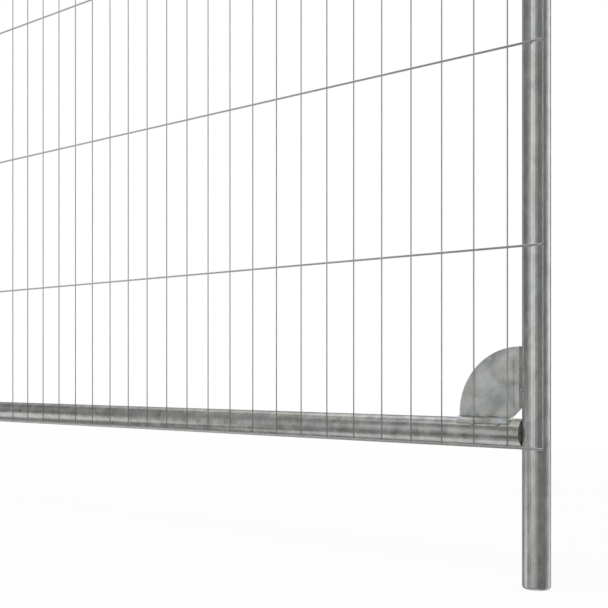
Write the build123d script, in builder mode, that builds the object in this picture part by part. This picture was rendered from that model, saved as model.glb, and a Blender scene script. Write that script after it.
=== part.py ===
"""Anti-climb mesh panel for a building site.

A rectangle of round tube carries a sheet of welded wire mesh on its front. Each corner is tied by a
pressed gusset whose two saddles sit on the post and the rail. Everything is welded, so nothing moves.
Sizes are in millimetres. X runs along the panel, the mesh is on the -Y side and Z is up, with the
origin on the ground, midway between the posts and on the tubes' own plane.
"""

import os
from math import atan2, cos, degrees, radians, sin, sqrt

from build123d import *

# Tube of the posts and rails
tube_diameter = 42.4
tube_wall = 2.0
rim_radius = 4.5
rim_land = 1.0
leg_length = 231.2
post_head = 25.0
rail_seat_depth = 1.4
end_disc_sheet = 3.0

# Wire mesh
upright_wire_diameter = 2.0
upright_wire_sides = 8
level_wire_diameter = 3.5
upright_pitch = 57.0
upright_count = 62
uprights_per_node = 2
level_pitch = 300.0
level_count = 7
level_wire_overhang = 1.4
mesh_inset = 0.6
mesh_drop = 0.2

# Pressed corner gusset
gusset_sheet = 3.0
gusset_arc_radius = 102.4
arc_to_post_saddle = 1.2
arc_to_rail_saddle = 1.1
post_saddle_gap = 1.4
post_saddle_bend = 1.0
post_saddle_wrap = 34.0
rail_saddle_gap = 0.1
rail_saddle_bend = 3.0
rail_saddle_wrap = 53.0
rail_saddle_taper = 4.0
saddle_start = 37.7
relief_clearance = 2.7
crease_from_post = 36.7
crease_low = 36.5
crease_high = 109.5
crease_width = 1.5
crease_depth = 0.8

# Weld beads
post_bead_places = (64.8, 104.3)
post_bead_length = 4.0
post_bead_bite = 1.3
rail_bead_places = (56.5, 99.0)
rail_bead_length = 9.0
rail_bead_bite = 0.7
tack_length = 6.0
tack_bite = 1.0
bead_sides = 8

# Places worked out from the sizes above
tube_radius = tube_diameter / 2
mesh_width = upright_pitch * (upright_count - 1)
mesh_height = level_pitch * (level_count - 1)
post_x = mesh_width / 2 + mesh_inset - tube_radius
bottom_rail_z = leg_length
bottom_wire_z = bottom_rail_z - tube_radius - mesh_drop
top_rail_z = bottom_wire_z + mesh_height - mesh_drop - tube_radius
post_height = top_rail_z + post_head
mid_plane = Plane.XY.offset((bottom_rail_z + top_rail_z) / 2)
upright_y = -(tube_radius + upright_wire_diameter / 2)
level_y = -(tube_radius + upright_wire_diameter + level_wire_diameter / 2)
upright_low = bottom_wire_z - level_wire_diameter / 2
upright_length = mesh_height + level_wire_diameter
level_wire_length = mesh_width + 2 * level_wire_overhang

os.makedirs("parts", exist_ok=True)


def save(piece, name):
    """Labels a finished piece and writes its file."""
    piece.label = name
    export_step(piece, f"parts/{name}.step")


def mirrored(piece, plane):
    """The same piece for the corner or side across a plane."""
    with BuildPart() as copy:
        mirror(piece, about=plane)
    return copy.part


# Posts: tube with both ends rolled in to a narrow flat lip, so that a post slips into its foot block
post_axis = Axis((post_x, 0, 0), (0, 0, 1))
post_plane = Plane((post_x, 0, 0), x_dir=(1, 0, 0), z_dir=(0, -1, 0))
lip_width = rim_radius + rim_land

with BuildPart() as right_post:
    with BuildSketch(post_plane) as post_section:
        with Locations((tube_radius, 0)):
            Rectangle(tube_wall, post_height, align=(Align.MAX, Align.MIN))
            Rectangle(lip_width, tube_wall, align=(Align.MAX, Align.MIN))
        with Locations((tube_radius, post_height)):
            Rectangle(lip_width, tube_wall, align=(Align.MAX, Align.MAX))
        outer_corners = post_section.vertices().group_by(Axis.X)[-1]
        inner_corners = post_section.vertices().group_by(Axis.X)[1]
        fillet(outer_corners, radius=rim_radius)
        chamfer(inner_corners, length=rim_radius - tube_wall)
    revolve(axis=post_axis)

save(right_post.part, "right_post")
save(mirrored(right_post.part, Plane.YZ), "left_post")


# Rails: tube cut square, with a shallow seat at each end for the round of the post
rail_length = 2 * (post_x - tube_radius + rail_seat_depth)

with BuildPart() as bottom_rail:
    with BuildSketch(Plane.YZ.offset(-rail_length / 2)) as rail_section:
        with Locations((0, bottom_rail_z)):
            Circle(tube_radius)
            Circle(tube_radius - tube_wall, mode=Mode.SUBTRACT)
    extrude(amount=rail_length)
    with Locations((-post_x, 0, bottom_rail_z), (post_x, 0, bottom_rail_z)):
        Cylinder(tube_radius, 2 * tube_diameter, mode=Mode.SUBTRACT)

save(bottom_rail.part, "bottom_rail")
save(mirrored(bottom_rail.part, mid_plane), "top_rail")


# Rail end discs: plates that close the rails' bores, flush with their ends and cut to the same seats
with BuildPart() as bottom_rail_end_discs:
    with BuildSketch(Plane.YZ.offset(rail_length / 2 - end_disc_sheet)) as end_disc:
        with Locations((0, bottom_rail_z)):
            Circle(tube_radius - tube_wall)
    extrude(amount=end_disc_sheet)
    with Locations((post_x, 0, bottom_rail_z)):
        Cylinder(tube_radius, 2 * tube_diameter, mode=Mode.SUBTRACT)
    mirror(about=Plane.YZ)

save(bottom_rail_end_discs.part, "bottom_rail_end_discs")
save(mirrored(bottom_rail_end_discs.part, mid_plane), "top_rail_end_discs")


# Gussets: the web lies in the tubes' own plane and bends to the front round the post and the rail
corner = Plane((post_x, 0, bottom_rail_z), x_dir=(-1, 0, 0), z_dir=(0, 1, 0))


def saddle_middle(gap):
    """Radius of the middle of a saddle's sheet about its tube's axis."""
    return tube_radius + gap + gusset_sheet / 2


def fold_line(gap, bend):
    """Distance from a tube's axis to the line where the web starts to bend into its saddle."""
    bend_middle = bend + gusset_sheet / 2
    return sqrt((saddle_middle(gap) + bend_middle) ** 2 - bend_middle**2)


def saddle_profile(plane, gap, bend, wrap):
    """Section of the sheet as it leaves the web and wraps a tube on the plane's origin."""
    fold = fold_line(gap, bend)
    bend_middle = bend + gusset_sheet / 2
    bend_end = degrees(atan2(bend_middle, fold))
    with BuildSketch(plane) as profile:
        with BuildLine():
            Line((fold + gusset_sheet, 0), (fold, 0))
            CenterArc((fold, bend_middle), bend_middle, 270, bend_end - 90)
            CenterArc((0, 0), saddle_middle(gap), bend_end, wrap - bend_end)
        trace(line_width=gusset_sheet)
    return profile.sketch


post_fold = fold_line(post_saddle_gap, post_saddle_bend)
rail_fold = fold_line(rail_saddle_gap, rail_saddle_bend)
web_width = gusset_arc_radius + arc_to_post_saddle
web_height = gusset_arc_radius + arc_to_rail_saddle
web_far_x = post_x - post_fold - web_width
web_low_z = bottom_rail_z + rail_fold
relief_edge = tube_radius + relief_clearance

post_saddle_plane = Plane((post_x, 0, web_low_z), x_dir=(-1, 0, 0), z_dir=(0, 0, 1))
rail_saddle_plane = Plane((web_far_x, 0, bottom_rail_z), x_dir=(0, 0, 1), z_dir=(1, 0, 0))
crease_place = (post_x - crease_from_post, 0, bottom_rail_z + crease_low)
crease_plane = Plane(crease_place, x_dir=(-1, 0, 0), z_dir=(0, 0, 1))

post_saddle = saddle_profile(post_saddle_plane, post_saddle_gap, post_saddle_bend, post_saddle_wrap)
rail_saddle = saddle_profile(rail_saddle_plane, rail_saddle_gap, rail_saddle_bend, rail_saddle_wrap)
rail_saddle_front = -(tube_radius + rail_saddle_gap + gusset_sheet) * sin(radians(rail_saddle_wrap))


def crease_profile(face):
    """V of the pressed crease, with its mouth on the web's front face or its ridge on the back."""
    half = crease_width / 2
    with BuildSketch(crease_plane) as profile:
        Polygon((-half, face), (half, face), (0, face - crease_depth), align=None)
    return profile.sketch


crease_groove = crease_profile(gusset_sheet / 2)
crease_ridge = crease_profile(-gusset_sheet / 2)
crease_length = crease_high - crease_low

with BuildPart() as bottom_right_gusset:
    with BuildSketch(corner) as web:
        with Locations((post_fold, rail_fold)):
            Rectangle(web_width, web_height, align=(Align.MIN, Align.MIN))
        far_corner = web.vertices().group_by(Axis.X)[-1].sort_by(Axis.Y)[-1]
        fillet(far_corner, radius=gusset_arc_radius)
    extrude(amount=gusset_sheet / 2, both=True)
    extrude(post_saddle, amount=web_height)
    extrude(rail_saddle, amount=web_width)
    with BuildSketch(Plane.XY.offset(bottom_rail_z)) as slanted_end:
        Polygon(
            (web_far_x, -gusset_sheet / 2),
            (web_far_x, rail_saddle_front),
            (web_far_x + rail_saddle_taper, rail_saddle_front),
            align=None,
        )
    extrude(amount=rail_fold, mode=Mode.SUBTRACT)
    with BuildSketch(corner) as relief:
        Polygon(
            (0, 0),
            (saddle_start, 0),
            (saddle_start, relief_edge),
            (relief_edge, saddle_start),
            (0, saddle_start),
            align=None,
        )
    extrude(amount=tube_diameter, both=True, mode=Mode.SUBTRACT)
    extrude(crease_ridge, amount=crease_length)
    extrude(crease_groove, amount=crease_length, mode=Mode.SUBTRACT)

bottom_left_gusset = mirrored(bottom_right_gusset.part, Plane.YZ)
top_right_gusset = mirrored(bottom_right_gusset.part, mid_plane)
top_left_gusset = mirrored(bottom_left_gusset, mid_plane)

save(bottom_right_gusset.part, "bottom_right_gusset")
save(bottom_left_gusset, "bottom_left_gusset")
save(top_right_gusset, "top_right_gusset")
save(top_left_gusset, "top_left_gusset")


# Gusset welds: short beads in the post saddle's gap and over the rail saddle's front edge
post_bead_reach = tube_radius + post_saddle_gap / 2
post_bead_radius = post_saddle_gap / 2 + post_bead_bite
post_bead_x = post_x - post_bead_reach * cos(radians(post_saddle_wrap))
post_bead_y = -post_bead_reach * sin(radians(post_saddle_wrap))

rail_bead_rise = (rail_saddle_gap + gusset_sheet) / 2
rail_bead_reach = tube_radius + rail_bead_rise
rail_bead_radius = rail_bead_rise + rail_bead_bite
rail_bead_y = -rail_bead_reach * sin(radians(rail_saddle_wrap))
rail_bead_z = bottom_rail_z + rail_bead_reach * cos(radians(rail_saddle_wrap))

with BuildPart() as bottom_right_welds:
    for place in post_bead_places:
        with BuildSketch(Plane((post_bead_x, post_bead_y, bottom_rail_z + place))) as post_bead:
            RegularPolygon(post_bead_radius, bead_sides)
        extrude(amount=post_bead_length / 2, both=True)
    for place in rail_bead_places:
        rail_bead_place = (post_x - place, rail_bead_y, rail_bead_z)
        with BuildSketch(Plane(rail_bead_place, x_dir=(0, 0, 1), z_dir=(1, 0, 0))) as rail_bead:
            RegularPolygon(rail_bead_radius, bead_sides)
        extrude(amount=rail_bead_length / 2, both=True)
    with Locations((post_x, 0, post_height / 2)):
        Cylinder(tube_radius, post_height, mode=Mode.SUBTRACT)
    with Locations((0, 0, bottom_rail_z)):
        Cylinder(tube_radius, rail_length, rotation=(0, 90, 0), mode=Mode.SUBTRACT)
    add(bottom_right_gusset.part, mode=Mode.SUBTRACT)

bottom_left_welds = mirrored(bottom_right_welds.part, Plane.YZ)
top_right_welds = mirrored(bottom_right_welds.part, mid_plane)
top_left_welds = mirrored(bottom_left_welds, mid_plane)

save(bottom_right_welds.part, "bottom_right_welds")
save(bottom_left_welds, "bottom_left_welds")
save(top_right_welds, "top_right_welds")
save(top_left_welds, "top_left_welds")


# Level wires: the thicker, front layer of the mesh, counted from the bottom
level_heights = [bottom_wire_z + level_pitch * row for row in range(level_count)]

for row, height in enumerate(level_heights, start=1):
    with BuildPart() as level_wire:
        with Locations((0, level_y, height)):
            Cylinder(level_wire_diameter / 2, level_wire_length, rotation=(0, 90, 0))
    save(level_wire.part, f"level_wire_{row}")


# Upright wires: the thinner layer that lies on the rails, in neighbouring pairs from the left
upright_places = [upright_pitch * column - mesh_width / 2 for column in range(upright_count)]
upright_plane = Plane.XY.offset(upright_low)

for first in range(0, upright_count, uprights_per_node):
    with BuildPart() as upright_wires:
        with BuildSketch(upright_plane) as upright_section:
            for place in upright_places[first : first + uprights_per_node]:
                with Locations((place, upright_y)):
                    RegularPolygon(
                        upright_wire_diameter / 2,
                        upright_wire_sides,
                        major_radius=False,
                        rotation=180 / upright_wire_sides,
                    )
        extrude(amount=upright_length)
    save(upright_wires.part, f"upright_wires_{first // uprights_per_node + 1:02d}")


# Mesh tacks: a bead behind each level wire, where it passes in front of a post
tack_radius = upright_wire_diameter / 2 + tack_bite

with BuildPart() as right_mesh_tacks:
    for height in level_heights:
        tack_plane = Plane((post_x, upright_y, height), x_dir=(0, 0, 1), z_dir=(1, 0, 0))
        with BuildSketch(tack_plane) as tack:
            RegularPolygon(tack_radius, bead_sides)
        extrude(amount=tack_length / 2, both=True)
    for height in level_heights:
        with Locations((post_x, level_y, height)):
            Cylinder(
                level_wire_diameter / 2,
                2 * tack_length,
                rotation=(0, 90, 0),
                mode=Mode.SUBTRACT,
            )
    with Locations((post_x, 0, post_height / 2)):
        Cylinder(tube_radius, post_height, mode=Mode.SUBTRACT)

save(right_mesh_tacks.part, "right_mesh_tacks")
save(mirrored(right_mesh_tacks.part, Plane.YZ), "left_mesh_tacks")
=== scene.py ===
# %% [markdown]
# # Anti-climb mesh panel
# The panel is a welded site fence: two posts, two rails, a thin wire mesh laid on their front, and a pressed
# gusset in each corner. Every piece already stands at its real size in the imported frame, so this lesson
# dresses it. The frame is loaded first.

# %% Load the frame
import math

import bmesh
import bpy
from mathutils import Matrix, Vector


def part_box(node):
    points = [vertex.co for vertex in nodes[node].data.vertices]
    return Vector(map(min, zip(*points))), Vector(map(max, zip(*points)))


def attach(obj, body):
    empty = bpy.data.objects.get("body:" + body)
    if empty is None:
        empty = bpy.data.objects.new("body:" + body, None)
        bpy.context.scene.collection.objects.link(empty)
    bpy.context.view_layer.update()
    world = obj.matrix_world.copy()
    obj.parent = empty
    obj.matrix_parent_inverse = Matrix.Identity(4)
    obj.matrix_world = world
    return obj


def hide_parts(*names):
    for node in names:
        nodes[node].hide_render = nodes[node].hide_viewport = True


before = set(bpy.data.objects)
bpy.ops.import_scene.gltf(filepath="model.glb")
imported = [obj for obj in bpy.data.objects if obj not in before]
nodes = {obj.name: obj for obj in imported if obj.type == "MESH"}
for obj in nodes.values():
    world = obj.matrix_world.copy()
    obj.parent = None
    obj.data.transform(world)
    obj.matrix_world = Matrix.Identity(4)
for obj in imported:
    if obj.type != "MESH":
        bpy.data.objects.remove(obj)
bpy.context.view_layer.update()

MM = 0.001
scene = bpy.context.scene
scene.view_settings.view_transform = "Standard"

# %% [markdown]
# ## Camera
# The picture is taken from the right, low down and close to the lower right corner, with a level camera: the
# posts stay upright in it, and only the lens is moved up. Tilting the camera would make the posts lean, so
# the same is done here, with a level camera and a vertical shift. Its place is measured from the last
# upright wire, because the wires' even spacing is what fixes the perspective.

# %% Camera
PICTURE_SIDE = 608
FOCAL_PIXELS = 988.4
HORIZON_PIXEL = 372
SENSOR_MM = 36
RIGHT_ANGLE = math.radians(90)
PANEL_ANGLE = math.radians(39.04)
CAMERA_ALONG = 0.6394
CAMERA_BACK = 1.3428
CAMERA_HEIGHT = 0.3230

last_low, last_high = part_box("upright_wires_31")
wire_radius = (last_high.y - last_low.y) / 2
camera_data = bpy.data.cameras.new("camera")
camera_data.sensor_width = SENSOR_MM
camera_data.lens = FOCAL_PIXELS / PICTURE_SIDE * SENSOR_MM
camera_data.shift_y = (HORIZON_PIXEL - PICTURE_SIDE / 2) / PICTURE_SIDE
camera = bpy.data.objects.new("camera", camera_data)
camera.location.x = last_high.x - wire_radius + CAMERA_ALONG
camera.location.y = last_low.y + wire_radius - CAMERA_BACK
camera.location.z = CAMERA_HEIGHT
camera.rotation_euler = (RIGHT_ANGLE, 0, PANEL_ANGLE)
scene.collection.objects.link(camera)
scene.camera = camera
print("camera", [round(place, 3) for place in camera.location], "lens", round(camera_data.lens, 2))

# %% [markdown]
# ## Helpers for materials
# Colours are written as they look on a screen, as sRGB hex values, and one function turns them to the
# linear values that shaders work in. One more function adds a node, sets it and links it, so that each
# material below reads as a list of what it is made of.


# %% Colour and node helpers
def colour(hex_value):
    channels = [int(hex_value[start:start + 2], 16) / 255 for start in (1, 3, 5)]
    linear = [c / 12.92 if c <= 0.04045 else ((c + 0.055) / 1.055) ** 2.4 for c in channels]
    return (*linear, 1)


def add(tree, kind, inputs=None, **settings):
    node = tree.nodes.new("ShaderNode" + kind)
    for name, value in settings.items():
        setattr(node, name, value)
    for socket, value in (inputs or {}).items():
        if isinstance(value, bpy.types.NodeSocket):
            tree.links.new(value, node.inputs[socket])
        else:
            node.inputs[socket].default_value = value
    return node


def new_material(name):
    material = bpy.data.materials.new(name)
    material.use_nodes = True
    material.node_tree.nodes.clear()
    return material, material.node_tree


print("a mid grey of #808080 is", round(colour("#808080")[0], 3), "in linear light")

# %% [markdown]
# ## Zinc pattern
# The panel's steel is coated with molten zinc, which freezes into soft crystals, so its grey is cloudy. A
# picture of zinc would repeat and stretch on a tube, so the clouds are noise in the object's own space. Zinc
# drains along a tube, which draws its clouds out along it. This first function gives each spot a number from
# dark to pale, out of three layers: the clouds, the crystals in them, and the fine lines of the steel.

# %% Zinc pattern
CLOUD_NOISE = {"Detail": 3, "Roughness": 0.55, "Distortion": 0.5}
PLAIN_NOISE = {"Detail": 1}
CRYSTALS_PER_CLOUD = 2
CRYSTAL_SHARE = 0.08
# The real lines are too fine to show, so they are drawn as wide as they need to be
LINE_WIDTH_MM = 2.5
LINE_STRETCH = 4


def per_metre(size_mm):
    return 1 / (size_mm * MM)


def zinc_pattern(tree, place, drawn, cloud_mm, along, grain):
    cloud_scale = per_metre(cloud_mm)
    clouds = add(tree, "TexNoise", {"Vector": drawn, "Scale": cloud_scale, **CLOUD_NOISE}).outputs["Fac"]
    crystal_scale = CRYSTALS_PER_CLOUD * cloud_scale
    crystals = add(tree, "TexVoronoi", {"Vector": drawn, "Scale": crystal_scale}).outputs["Color"]
    speckled = add(tree, "Mix", {"Factor": CRYSTAL_SHARE, "A": clouds, "B": crystals}).outputs[0]
    # A tube keeps lines along its length, and a sheet or wire keeps an even grain
    line_shape = [share ** LINE_STRETCH for share in along]
    rolled = add(tree, "Mapping", {"Vector": place, "Scale": line_shape}).outputs["Vector"]
    line_scale = per_metre(LINE_WIDTH_MM)
    lines = add(tree, "TexNoise", {"Vector": rolled, "Scale": line_scale, **PLAIN_NOISE}).outputs["Fac"]
    lined = add(tree, "Mix", {"Factor": grain, "A": speckled, "B": lines}).outputs[0]
    return clouds, lined


print("lines", LINE_WIDTH_MM, "mm wide give a noise scale of", round(per_metre(LINE_WIDTH_MM)))

# %% [markdown]
# ## Zinc colour
# Zinc isn't one grey: some of it leans to blue and some to a warm grey, in patches wider than the clouds.
# One ramp of many colours could give all of it, but two ramps are easier to steer: one from the dark to the
# pale grey, and a faint one from warm to cool, multiplied over it.

# %% Zinc colour
LEAN_MM = 50
GREY_REACH = (0.35, 0.65)
LEAN_REACH = (0.42, 0.58)
LEAN_SHADES = ("#fffefa", "#fafbff")


def zinc_colour(tree, drawn, lined, shades):
    lean_scale = per_metre(LEAN_MM)
    patches = add(tree, "TexNoise", {"Vector": drawn, "Scale": lean_scale, **PLAIN_NOISE}).outputs["Fac"]
    layers = []
    for value, reach, ends in ((lined, GREY_REACH, shades), (patches, LEAN_REACH, LEAN_SHADES)):
        ramp = add(tree, "ValToRGB", {"Fac": value})
        for stop, position, shade in zip(ramp.color_ramp.elements, reach, ends):
            stop.position = position
            stop.color = colour(shade)
        layers.append(ramp.outputs["Color"])
    grey, lean = layers
    mixed = add(tree, "Mix", {"Factor": 1.0, "A": grey, "B": lean}, data_type="RGBA", blend_type="MULTIPLY")
    return mixed.outputs[2]


print("colour leans over patches of", LEAN_MM, "mm")

# %% [markdown]
# ## Zinc
# The metal itself is a little smoother in the dark clouds and duller in the pale ones, and its skin is
# slightly wavy, which bends reflections. Waves in the mesh would cost very many faces for hundredths of a
# millimetre, so they are bump. A finish's start shifts its pattern to another place in the noise.

# %% Zinc
DULL_REACH = (0.3, 0.7)
EVEN = (1, 1, 1)


def zinc(name, cloud_mm, shades, grain, roughness, wave_mm, wave_height_mm, along=EVEN, start=(0, 0, 0)):
    material, tree = new_material(name)
    place = add(tree, "TexCoord").outputs["Object"]
    drawn = add(tree, "Mapping", {"Vector": place, "Location": start, "Scale": along}).outputs["Vector"]
    clouds, lined = zinc_pattern(tree, place, drawn, cloud_mm, along, grain)
    shade = zinc_colour(tree, drawn, lined, shades)
    dull = add(tree, "MapRange", {"Value": clouds, "From Min": DULL_REACH[0], "From Max": DULL_REACH[1],
                                  "To Min": roughness[0], "To Max": roughness[1]}).outputs["Result"]
    wave_scale = per_metre(wave_mm)
    waves = add(tree, "TexNoise", {"Vector": drawn, "Scale": wave_scale, **PLAIN_NOISE}).outputs["Fac"]
    skin = add(tree, "Bump", {"Height": waves, "Distance": wave_height_mm * MM}).outputs["Normal"]
    metal = add(tree, "BsdfPrincipled", {"Base Color": shade, "Metallic": 1.0, "Roughness": dull,
                                         "Normal": skin})
    add(tree, "OutputMaterial", {"Surface": metal.outputs["BSDF"]})
    print("finish", name, "with clouds of", cloud_mm, "mm")
    return material


# %% [markdown]
# ## Tubes
# The posts and rails are round steel tube, welded together and then dipped, and a disc closes each end of
# the rails. They could be copied and worked on, as the wires are further down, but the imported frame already
# has their true shape. So they keep it and only get their finish.

# %% Tube finishes
# Hot-dip zinc on smooth tube: it mirrors the room, and blurs it where a cloud is duller
post_zinc = zinc(
    "hot_dip_zinc_on_upright_tube", cloud_mm=15, shades=("#c8c9c7", "#ebecea"), grain=0.2,
    roughness=(0.03, 0.24), wave_mm=30, wave_height_mm=0.02, along=(1, 1, 0.6), start=(1.25, 1.46, 1.71))
# On a level tube the zinc drains off across it, so its clouds are rounder and stand out more
rail_zinc = zinc(
    "hot_dip_zinc_on_level_tube", cloud_mm=18, shades=("#c2c2bf", "#f1f1ed"), grain=0.08,
    roughness=(0.03, 0.26), wave_mm=30, wave_height_mm=0.02, along=(0.9, 1, 1), start=(0.35, 0.21, 0.43))
# Dull zinc on a punched disc: rough under its coat, so it scatters the light
disc_zinc = zinc(
    "dull_zinc_on_end_disc", cloud_mm=10, shades=("#c6c8c6", "#e6e7e4"), grain=0.1,
    roughness=(0.45, 0.6), wave_mm=6, wave_height_mm=0.02)

# %% Tubes and discs
tube_finishes = {"_post": post_zinc, "_rail": rail_zinc, "_discs": disc_zinc}
for name, node in nodes.items():
    for ending, finish in tube_finishes.items():
        if name.endswith(ending):
            node.data.materials.clear()
            node.data.materials.append(finish)
            print(name, "in", finish.name)

# %% [markdown]
# ## Helpers for pieces
# Some pieces need more than a finish, so a copy of the frame's shape is worked on instead. That shape comes
# as loose triangles, so its copy is first merged into one skin. One more function turns a shape into a piece
# that rides on the panel and, where it is made from a node, stands for that node.

# %% Helpers for pieces
MERGE_DISTANCE = 0.001 * MM


def merged_copy(node_name):
    shape = bmesh.new()
    shape.from_mesh(nodes[node_name].data)
    bmesh.ops.remove_doubles(shape, verts=shape.verts, dist=MERGE_DISTANCE)
    return shape


def add_piece(name, shape, finish, crease_angle, node_name=None):
    mesh = bpy.data.meshes.new(name)
    shape.to_mesh(mesh)
    shape.free()
    mesh.materials.append(finish)
    mesh.shade_smooth()
    mesh.set_sharp_from_angle(angle=math.radians(crease_angle))
    piece = bpy.data.objects.new(name, mesh)
    scene.collection.objects.link(piece)
    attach(piece, "root")
    if node_name:
        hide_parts(node_name)
    print("piece", name, "with", len(mesh.polygons), "faces")
    return piece


# %% [markdown]
# ## Zinc runs
# When the welded tubes are lifted out of the bath, the last zinc drains to the underside of the rails and
# freezes there in a narrow run. It closes the fine gap that would otherwise show between the bottom rail and
# the lowest wire. It could be a bulge in the tube, but the frame's tubes stay as they are. So each run is a
# piece of its own: a flat oval, drawn out along its rail and half sunk in the tube's wall.

# %% Zinc runs
RAILS = ("bottom_rail", "top_rail")
RUN_WIDTH = 5 * MM
RUN_DEPTH = 0.7 * MM
RUN_SIDES = 16
RUN_CREASE = 60

for rail_name in RAILS:
    low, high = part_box(rail_name)
    run = bmesh.new()
    rim = bmesh.ops.create_circle(run, cap_ends=True, segments=RUN_SIDES, radius=1)["verts"]
    bmesh.ops.scale(run, vec=(RUN_DEPTH, RUN_WIDTH / 2, 1), verts=rim)
    bmesh.ops.rotate(run, matrix=Matrix.Rotation(RIGHT_ANGLE, 3, "Y"), verts=rim)
    bmesh.ops.translate(run, vec=(low.x, (low.y + high.y) / 2, low.z), verts=rim)
    extruded = bmesh.ops.extrude_face_region(run, geom=run.faces[:])["geom"]
    far_rim = [vert for vert in extruded if isinstance(vert, bmesh.types.BMVert)]
    bmesh.ops.translate(run, vec=(high.x - low.x, 0, 0), verts=far_rim)
    bmesh.ops.recalc_face_normals(run, faces=run.faces)
    add_piece(f"{rail_name}_zinc_run", run, rail_zinc, RUN_CREASE)

# %% [markdown]
# ## Level wires
# Wire is pulled through a zinc bath before the mesh is made, so its coat is even, pale and satin. Each level
# wire is then cut to length in a shear, which leaves its two ends as bare, dull steel. A pattern could
# darken the ends by their place, but the cut is sharp, so a merged copy of the frame's wire gives its end
# faces a finish of their own. The soft zinc of the tubes doesn't mirror anything so thin, so the wires are
# hidden from reflections.

# %% Level wire finishes
# Drawn wire from a zinc bath: wiped smooth as it leaves, so it is pale and nearly without clouds
level_zinc = zinc(
    "zinc_on_drawn_level_wire", cloud_mm=12, shades=("#eaebe9", "#fafaf8"), grain=0.1,
    roughness=(0.45, 0.6), wave_mm=8, wave_height_mm=0.01)
# Bare steel, torn by the shear: dark and rough
sheared_steel = zinc(
    "bare_steel_on_sheared_end", cloud_mm=2, shades=("#6f6e6b", "#8d8b87"), grain=0.1,
    roughness=(0.5, 0.7), wave_mm=1, wave_height_mm=0.02)

# %% Level wires
END_FACING = 0.9
SHEARED_SLOT = 1
WIRE_CREASE = 60

level_nodes = [name for name in nodes if name.startswith("level_wire")]
for name in level_nodes:
    wire = merged_copy(name)
    ends = [face for face in wire.faces if abs(face.normal.x) > END_FACING]
    for face in ends:
        face.material_index = SHEARED_SLOT
    print(name, "with", len(ends), "faces on its sheared ends")
    piece = add_piece(f"round_{name}", wire, level_zinc, WIRE_CREASE, name)
    piece.data.materials.append(sheared_steel)
    piece.visible_glossy = False

# %% [markdown]
# ## Upright wire zinc
# The uprights are coated in the same way. Where they cross in front of a rail, the rail behind them blocks
# light and casts a contact shadow, so they look darker there. Pieces of their own would need cuts in every
# wire, so that shade is painted into the wires' zinc as a darker grey instead, by height, along the two rails
# and no further out than they reach.

# %% Upright wire zinc
# Painted shade: the grey given to the uprights where they cross in front of a rail, standing in for its
# shadow
PAINTED_RAIL_SHADE = "#bababa"
SHADE_MARGIN = 3 * MM
SHADE_EDGE = 1 * MM

# Drawn wire from a zinc bath, thinner and a little greyer than the level wires
upright_zinc = zinc(
    "zinc_on_drawn_upright_wire", cloud_mm=12, shades=("#dcdddb", "#efefed"), grain=0.1,
    roughness=(0.45, 0.6), wave_mm=8, wave_height_mm=0.01)
tree = upright_zinc.node_tree
base_colour = tree.nodes["Principled BSDF"].inputs["Base Color"]
place = add(tree, "SeparateXYZ", {0: add(tree, "TexCoord").outputs["Object"]})
side = add(tree, "Math", {0: place.outputs["X"]}, operation="ABSOLUTE").outputs[0]
for rail_name in RAILS:
    low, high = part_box(rail_name)
    middle = (low.z + high.z) / 2
    shade_reach = (high.z - low.z) / 2 + SHADE_MARGIN
    above = add(tree, "Math", {0: place.outputs["Z"], 1: middle}, operation="SUBTRACT").outputs[0]
    away = add(tree, "Math", {0: above}, operation="ABSOLUTE").outputs[0]
    shade_core = shade_reach - SHADE_EDGE
    on_rail = add(tree, "MapRange", {"Value": away, "From Min": shade_core, "From Max": shade_reach,
                                     "To Min": 1.0, "To Max": 0.0}).outputs["Result"]
    # on_rail and between mark the stretch where an upright crosses in front of a rail, which gets the painted
    # shade
    between = add(tree, "Math", {0: side, 1: high.x}, operation="LESS_THAN").outputs[0]
    welded = add(tree, "Math", {0: on_rail, 1: between}, operation="MULTIPLY").outputs[0]
    clean = base_colour.links[0].from_socket
    # Painted shade: the darker grey is mixed over the clean zinc along each rail
    painted_shade = add(tree, "Mix", {"Factor": welded, "A": clean, "B": colour(PAINTED_RAIL_SHADE)}, data_type="RGBA")
    tree.links.new(painted_shade.outputs[2], base_colour)
    print("painted shade along", rail_name, "at", round(middle, 4))

# %% [markdown]
# ## Upright wires
# The uprights are drawn through a round die, so they are round. The frame's have eight flat sides, to save
# triangles, and would glint in stripes. More sides would cost many triangles and look the same from a step
# away, so a merged copy with smooth normals is used, which shades as a round wire does.

# %% Upright wires
upright_nodes = [name for name in nodes if name.startswith("upright_wires")]
for name in upright_nodes:
    round_wires = merged_copy(name)
    piece = add_piece(f"round_{name}", round_wires, upright_zinc, WIRE_CREASE, name)
    piece.visible_glossy = False
print(len(upright_nodes), "pairs of upright wires")

# %% [markdown]
# ## Pressed gussets
# Each gusset is one sheet, stamped out and bent round the post and the rail. Pressing and dipping round its
# edges off, and such a narrow rounding is what catches the light, where a sharp edge would show as nothing.
# The frame's gusset is right but sharp, so a copy of it is merged and its edges are bevelled. Flat faces
# beside a bevel tend to shade as if they were curved, so their normals are weighted by the faces' size.

# %% Gusset finish
# Hot-dip zinc on pressed sheet: wide clouds, and duller than on tube, so it mirrors only a blur
sheet_zinc = zinc(
    "hot_dip_zinc_on_pressed_sheet", cloud_mm=28, shades=("#babdbb", "#f2f4f2"), grain=0.05,
    roughness=(0.12, 0.24), wave_mm=22, wave_height_mm=0.03, start=(1.73, 1.1, 0.6))

# %% Gussets
CORNERS = ("bottom_left", "bottom_right", "top_left", "top_right")
EDGE_ROUND = 0.3 * MM
EDGE_STEPS = 2
FLAT_ANGLE = math.radians(0.5)
SHARP_ANGLE = math.radians(30)
SHEET_CREASE = 20

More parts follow.
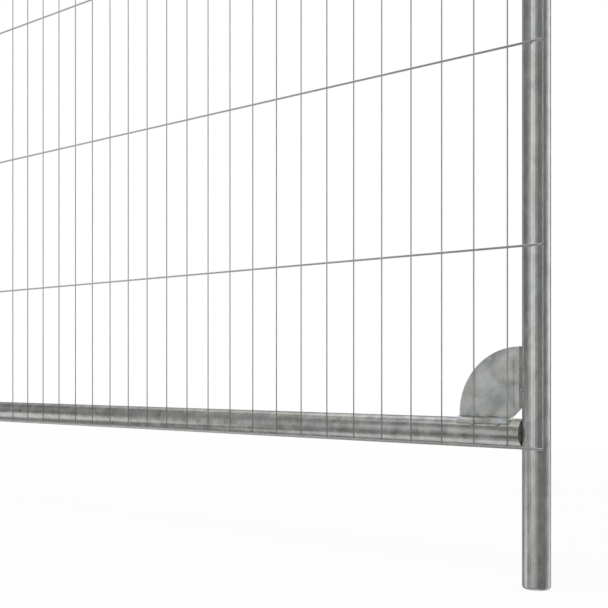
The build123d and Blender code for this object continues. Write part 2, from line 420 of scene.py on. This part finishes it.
for corner in CORNERS:
    node_name = f"{corner}_gusset"
    sheet = merged_copy(node_name)
    bmesh.ops.dissolve_limit(sheet, angle_limit=FLAT_ANGLE, verts=sheet.verts, edges=sheet.edges)
    sharp_edges = [edge for edge in sheet.edges if edge.calc_face_angle(0) > SHARP_ANGLE]
    bmesh.ops.bevel(sheet, geom=sharp_edges, offset=EDGE_ROUND, affect="EDGES", segments=EDGE_STEPS,
                    profile=0.5, material=-1, clamp_overlap=True)
    bmesh.ops.recalc_face_normals(sheet, faces=sheet.faces)
    print(corner, "gusset with", len(sharp_edges), "rounded edges")
    gusset_name = f"{corner}_pressed_gusset"
    gusset = add_piece(gusset_name, sheet, sheet_zinc, SHEET_CREASE, node_name)
    flat_web = gusset.modifiers.new("flat_web", "WEIGHTED_NORMAL")
    flat_web.keep_sharp = True

# %% [markdown]
# ## Weld beads
# The gussets are held by short runs of weld, and the level wires by a tack on each post. A weld is a row of
# frozen drops that run into each other, so it is lumpy and has no edges. Bump alone would leave its outline
# smooth, so the lumps are in the mesh. The frame holds each bead's place and size: one function finds them,
# and another stretches a ball along each bead and swells it in waves, one for each drop.


# %% Bead places
def bead_boxes(node_name):
    shape = merged_copy(node_name)
    seen = set()
    boxes = []
    # The points that edges join, one to the next, belong to one bead
    for start in shape.verts:
        if start in seen:
            continue
        group = [start]
        seen.add(start)
        for vert in group:
            joined = [edge.other_vert(vert) for edge in vert.link_edges]
            fresh = [other for other in joined if other not in seen]
            seen.update(fresh)
            group.extend(fresh)
        sides = list(zip(*[vert.co for vert in group]))
        boxes.append((Vector(map(min, sides)), Vector(map(max, sides))))
    shape.free()
    print(node_name, "with", len(boxes), "beads")
    return boxes


# %% Bead shape
BEAD_SIDES = 12
BEAD_RINGS = 16
BEAD_DROPS = 4
DROP_SWELL = 0.1
BEAD_FULLNESS = 1.15
UP = Vector((0, 0, 1))


def add_bead(shape, low, high):
    size = high - low
    # The ball is 1 across, so that it can be stretched to the bead's size
    made = bmesh.ops.create_uvsphere(shape, u_segments=BEAD_SIDES, v_segments=BEAD_RINGS, radius=0.5)
    ball = made["verts"]
    for vert in ball:
        swell = 1 + DROP_SWELL * math.cos(2 * math.pi * BEAD_DROPS * vert.co.z)
        vert.co.x *= swell
        vert.co.y *= swell
    long_axis = max(range(3), key=lambda axis: size[axis])
    along = Vector([axis == long_axis for axis in range(3)])
    turned = UP.rotation_difference(along).to_matrix()
    stretched = Matrix.Diagonal(size * BEAD_FULLNESS)
    bmesh.ops.transform(shape, matrix=(stretched @ turned).to_4x4(), verts=ball)
    bmesh.ops.translate(shape, vec=(low + high) / 2, verts=ball)


# %% Weld finish
# Zinc over weld: rough underneath and thick, so it is pale and dull
weld_zinc = zinc(
    "zinc_over_weld_bead", cloud_mm=3, shades=("#cfd1cf", "#eeefec"), grain=0.1,
    roughness=(0.45, 0.65), wave_mm=1.5, wave_height_mm=0.02)

# %% Welds and tacks
BEAD_CREASE = 80

bead_nodes = [name for name in nodes if name.endswith(("_welds", "_tacks"))]
for node_name in bead_nodes:
    beads = bmesh.new()
    for low, high in bead_boxes(node_name):
        add_bead(beads, low, high)
    bmesh.ops.recalc_face_normals(beads, faces=beads.faces)
    add_piece(f"{node_name}_drops", beads, weld_zinc, BEAD_CREASE, node_name)

# %% [markdown]
# ## Floor
# A plain pale floor carries the panel's soft shadow. A floor that is only painted would be greyer than the
# backdrop and show where it ends. So to the camera it is mostly white by itself, and all white further away
# from the panel, where no shadow falls. What the metal mirrors is drawn in the studio further down, so the
# floor is hidden from reflections.

# %% Floor
FLOOR_SIDE = 60

floor_mesh = bpy.data.meshes.new("floor")
shape = bmesh.new()
bmesh.ops.create_grid(shape, x_segments=1, y_segments=1, size=FLOOR_SIDE / 2)
shape.to_mesh(floor_mesh)
shape.free()
floor = bpy.data.objects.new("floor", floor_mesh)
scene.collection.objects.link(floor)
floor.visible_glossy = False
print("floor", FLOOR_SIDE, "m wide")

# %% Floor paint
SHADOW_SHARE = 0.06
SHADOW_REACH = (1.0, 3.0)
PAINT_SHADE = "#ececec"

# Matt white paint: it scatters light evenly and mirrors nothing
floor_paint, tree = new_material("matt_white_floor_paint")
across = add(tree, "SeparateXYZ", {0: add(tree, "TexCoord").outputs["Object"]}).outputs["Y"]
away = add(tree, "Math", {0: across}, operation="ABSOLUTE").outputs[0]
fade = {"From Min": SHADOW_REACH[0], "From Max": SHADOW_REACH[1], "To Min": 1 - SHADOW_SHARE, "To Max": 1.0}
whiter = add(tree, "MapRange", {"Value": away, **fade}, interpolation_type="SMOOTHSTEP").outputs["Result"]
to_camera = add(tree, "LightPath").outputs["Is Camera Ray"]
shown = add(tree, "Math", {0: to_camera, 1: whiter}, operation="MULTIPLY").outputs[0]
matt = add(tree, "BsdfDiffuse", {"Color": colour(PAINT_SHADE)}).outputs[0]
white = add(tree, "Emission", {"Color": colour("#ffffff"), "Strength": 1.0}).outputs[0]
mixed = add(tree, "MixShader", {0: shown, 1: matt, 2: white})
add(tree, "OutputMaterial", {"Surface": mixed.outputs[0]})
floor_mesh.materials.append(floor_paint)
print("shadow can take", SHADOW_SHARE, "of the floor's white near the panel")

# %% [markdown]
# ## Studio
# Bare zinc has hardly any shade of its own: what the eye sees on a tube is the room around it, squeezed into
# bands. So the room matters more than any lamp. It could be built from glowing cards, but each card would
# have to be kept out of the picture, so the room is drawn in the world as soft patches of light. A patch
# runs from one angle to another, round the panel and up and down. Angles across are counted in degrees from
# straight in front of the panel towards its right end, and angles up from the horizon.

# %% Studio angles
studio = bpy.data.worlds.new("studio")
scene.world = studio
studio.use_nodes = True
sky = studio.node_tree
sky.nodes.clear()
direction = add(sky, "SeparateXYZ", {0: add(sky, "TexCoord").outputs["Generated"]}).outputs
forward = add(sky, "Math", {0: direction["Y"], 1: -1.0}, operation="MULTIPLY").outputs[0]
turn = add(sky, "Math", {0: direction["X"], 1: forward}, operation="ARCTAN2").outputs[0]
rise = add(sky, "Math", {0: direction["Z"]}, operation="ARCSINE").outputs[0]
print("studio reads its angles with", len(sky.nodes), "nodes")


# %% Patches of light
def patch(across, up, edge):
    masks = []
    for angle, (start, end), soft in ((turn, across, edge[0]), (rise, up, edge[1])):
        middle = math.radians(start + end) / 2
        half = (end - start) / 2
        off = add(sky, "Math", {0: angle, 1: middle}, operation="SUBTRACT").outputs[0]
        wrapped = add(sky, "Math", {0: off, 1: math.pi, 2: -math.pi}, operation="WRAP").outputs[0]
        away = add(sky, "Math", {0: wrapped}, operation="ABSOLUTE").outputs[0]
        mask = add(sky, "MapRange", {"Value": away, "From Min": math.radians(half - soft),
                                     "From Max": math.radians(half + soft), "To Min": 1.0, "To Max": 0.0},
                   interpolation_type="SMOOTHSTEP")
        masks.append(mask.outputs["Result"])
    return add(sky, "Math", {0: masks[0], 1: masks[1]}, operation="MULTIPLY").outputs[0]


def glow(light, strength, across, up, edge):
    mask = patch(across, up, edge)
    return add(sky, "Math", {0: mask, 1: strength, 2: light}, operation="MULTIPLY_ADD").outputs[0]


# %% [markdown]
# ## Screens in front
# A studio stands its bright screens in front of the work, and they give the tubes their pale bands. One
# wide screen would make one wide band, so several narrow ones are used, with darker gaps between them. The
# edge is how many degrees a patch fades on either side of its rim.

# %% Screens in front
AMBIENT = 0.21

# Two tall bright screens, close together
light = glow(AMBIENT, strength=0.60, across=(-20.5, 0), up=(-7, 40), edge=(4, 9))
light = glow(light, strength=0.56, across=(2, 15.5), up=(-7, 40), edge=(3, 9))
# Three narrow ones to their left, and a dim one to their right
light = glow(light, strength=0.23, across=(-36, -31), up=(-4, 24), edge=(3, 4))
light = glow(light, strength=0.26, across=(-31, -21), up=(1, 14), edge=(3, 4))
light = glow(light, strength=0.32, across=(-31, -25), up=(-22, 1), edge=(3, 4))
light = glow(light, strength=0.13, across=(17, 36), up=(-14, 26), edge=(5, 5))
print("screens in front, with", len(sky.nodes), "nodes so far")

# %% [markdown]
# ## Boards around
# Pale boards on the other sides throw some of that light back. They keep the gussets and the tubes' far
# sides from going black. A lamp there would do so too, but it would also print a hard bright spot on them.

# %% Boards around
# A bright board low on the left, and a dim one between it and the screens
light = glow(light, strength=0.52, across=(-86, -52), up=(-34, -5), edge=(9, 7))
light = glow(light, strength=0.15, across=(-50, -33), up=(-20, 15), edge=(5, 8))
# The lit floor under the screens
light = glow(light, strength=0.18, across=(-22, 18), up=(-30, -8), edge=(6, 6))
# A high board on the left, the wall below it, and the wall further round
light = glow(light, strength=0.26, across=(-60, -36), up=(46, 66), edge=(6, 5))
light = glow(light, strength=0.07, across=(-76, -31), up=(17, 44), edge=(6, 8))
light = glow(light, strength=0.13, across=(-150, -96), up=(-30, 30), edge=(8, 10))
# The backdrop behind the panel on the right, and the floor before it
light = glow(light, strength=0.30, across=(112, 150), up=(-1, 40), edge=(12, 6))
light = glow(light, strength=0.20, across=(112, 164), up=(-45, -3), edge=(14, 6))
light = glow(light, strength=0.38, across=(138, 175), up=(-45, -5), edge=(8, 4))
print("boards around, with", len(sky.nodes), "nodes so far")

# %% [markdown]
# ## Ceiling and floor
# The ceiling and the floor are paler than the walls. A plain gradient would do for that, but the ceiling
# behind the panel and the floor on the left are brighter than the rest, so these are patches as well. The
# brightest, straight above and below, hardly show in the tubes and lighten the dull wires.

# %% Ceiling and floor
ALL_ROUND = (-200, 200)
BEHIND = (102, 258)

light = glow(light, strength=0.22, across=ALL_ROUND, up=(44, 150), edge=(5, 7))
light = glow(light, strength=0.40, across=BEHIND, up=(33, 62), edge=(12, 10))
light = glow(light, strength=0.16, across=ALL_ROUND, up=(-150, -45), edge=(5, 7))
light = glow(light, strength=0.24, across=(-136, -65), up=(-70, -49), edge=(10, 5))
light = glow(light, strength=0.60, across=ALL_ROUND, up=(70, 110), edge=(5, 5))
light = glow(light, strength=0.60, across=ALL_ROUND, up=(-110, -70), edge=(5, 5))
print("ceiling and floor, with", len(sky.nodes), "nodes so far")

# %% [markdown]
# ## Backdrop
# The backdrop is plain white to the camera. More light in the room would bleach the zinc as well, so the
# rays are sorted instead: a camera ray that reaches the world finds white, and so does a ray that glances
# off the metal towards the backdrop behind it. Every other ray finds the room.

# %% Backdrop
FAR_SIDE = {"across": (133, 167), "up": (-3, 60), "edge": (9, 6)}
WHITE = 1.0

rays = add(sky, "LightPath").outputs
glossy = {0: rays["Is Glossy Ray"], 1: rays["Is Transmission Ray"]}
shiny = add(sky, "Math", glossy, operation="MAXIMUM").outputs[0]
far_side = add(sky, "Math", {0: shiny, 1: patch(**FAR_SIDE)}, operation="MULTIPLY").outputs[0]
backdrop = add(sky, "Math", {0: rays["Is Camera Ray"], 1: far_side}, operation="MAXIMUM").outputs[0]
seen = add(sky, "Mix", {"Factor": backdrop, "A": light, "B": WHITE}).outputs[0]
air = add(sky, "Background", {"Color": seen})
add(sky, "OutputWorld", {"Surface": air.outputs[0]})
print("studio with", len(sky.nodes), "nodes")

# %% [markdown]
# ## Key lamp
# One large lamp high on the left gives the panel its soft shadow on the floor. A small lamp would print a
# hard line for every wire. The tubes already have the room to reflect, so the lamp is hidden from
# reflections.

# %% Key lamp
KEY_SIZE = (4, 3)
KEY_POWER = 230
KEY_PLACE = (-1.5, -3, 4.5)
KEY_TILT = math.radians(35)
KEY_TURN = math.radians(-25)

key_data = bpy.data.lights.new("key", "AREA")
key_data.shape = "RECTANGLE"
key_data.size, key_data.size_y = KEY_SIZE
key_data.energy = KEY_POWER
key = bpy.data.objects.new("key", key_data)
key.location = KEY_PLACE
key.rotation_euler = (KEY_TILT, 0, KEY_TURN)
key.visible_glossy = False
scene.collection.objects.link(key)
print("key lamp of", KEY_POWER, "W")
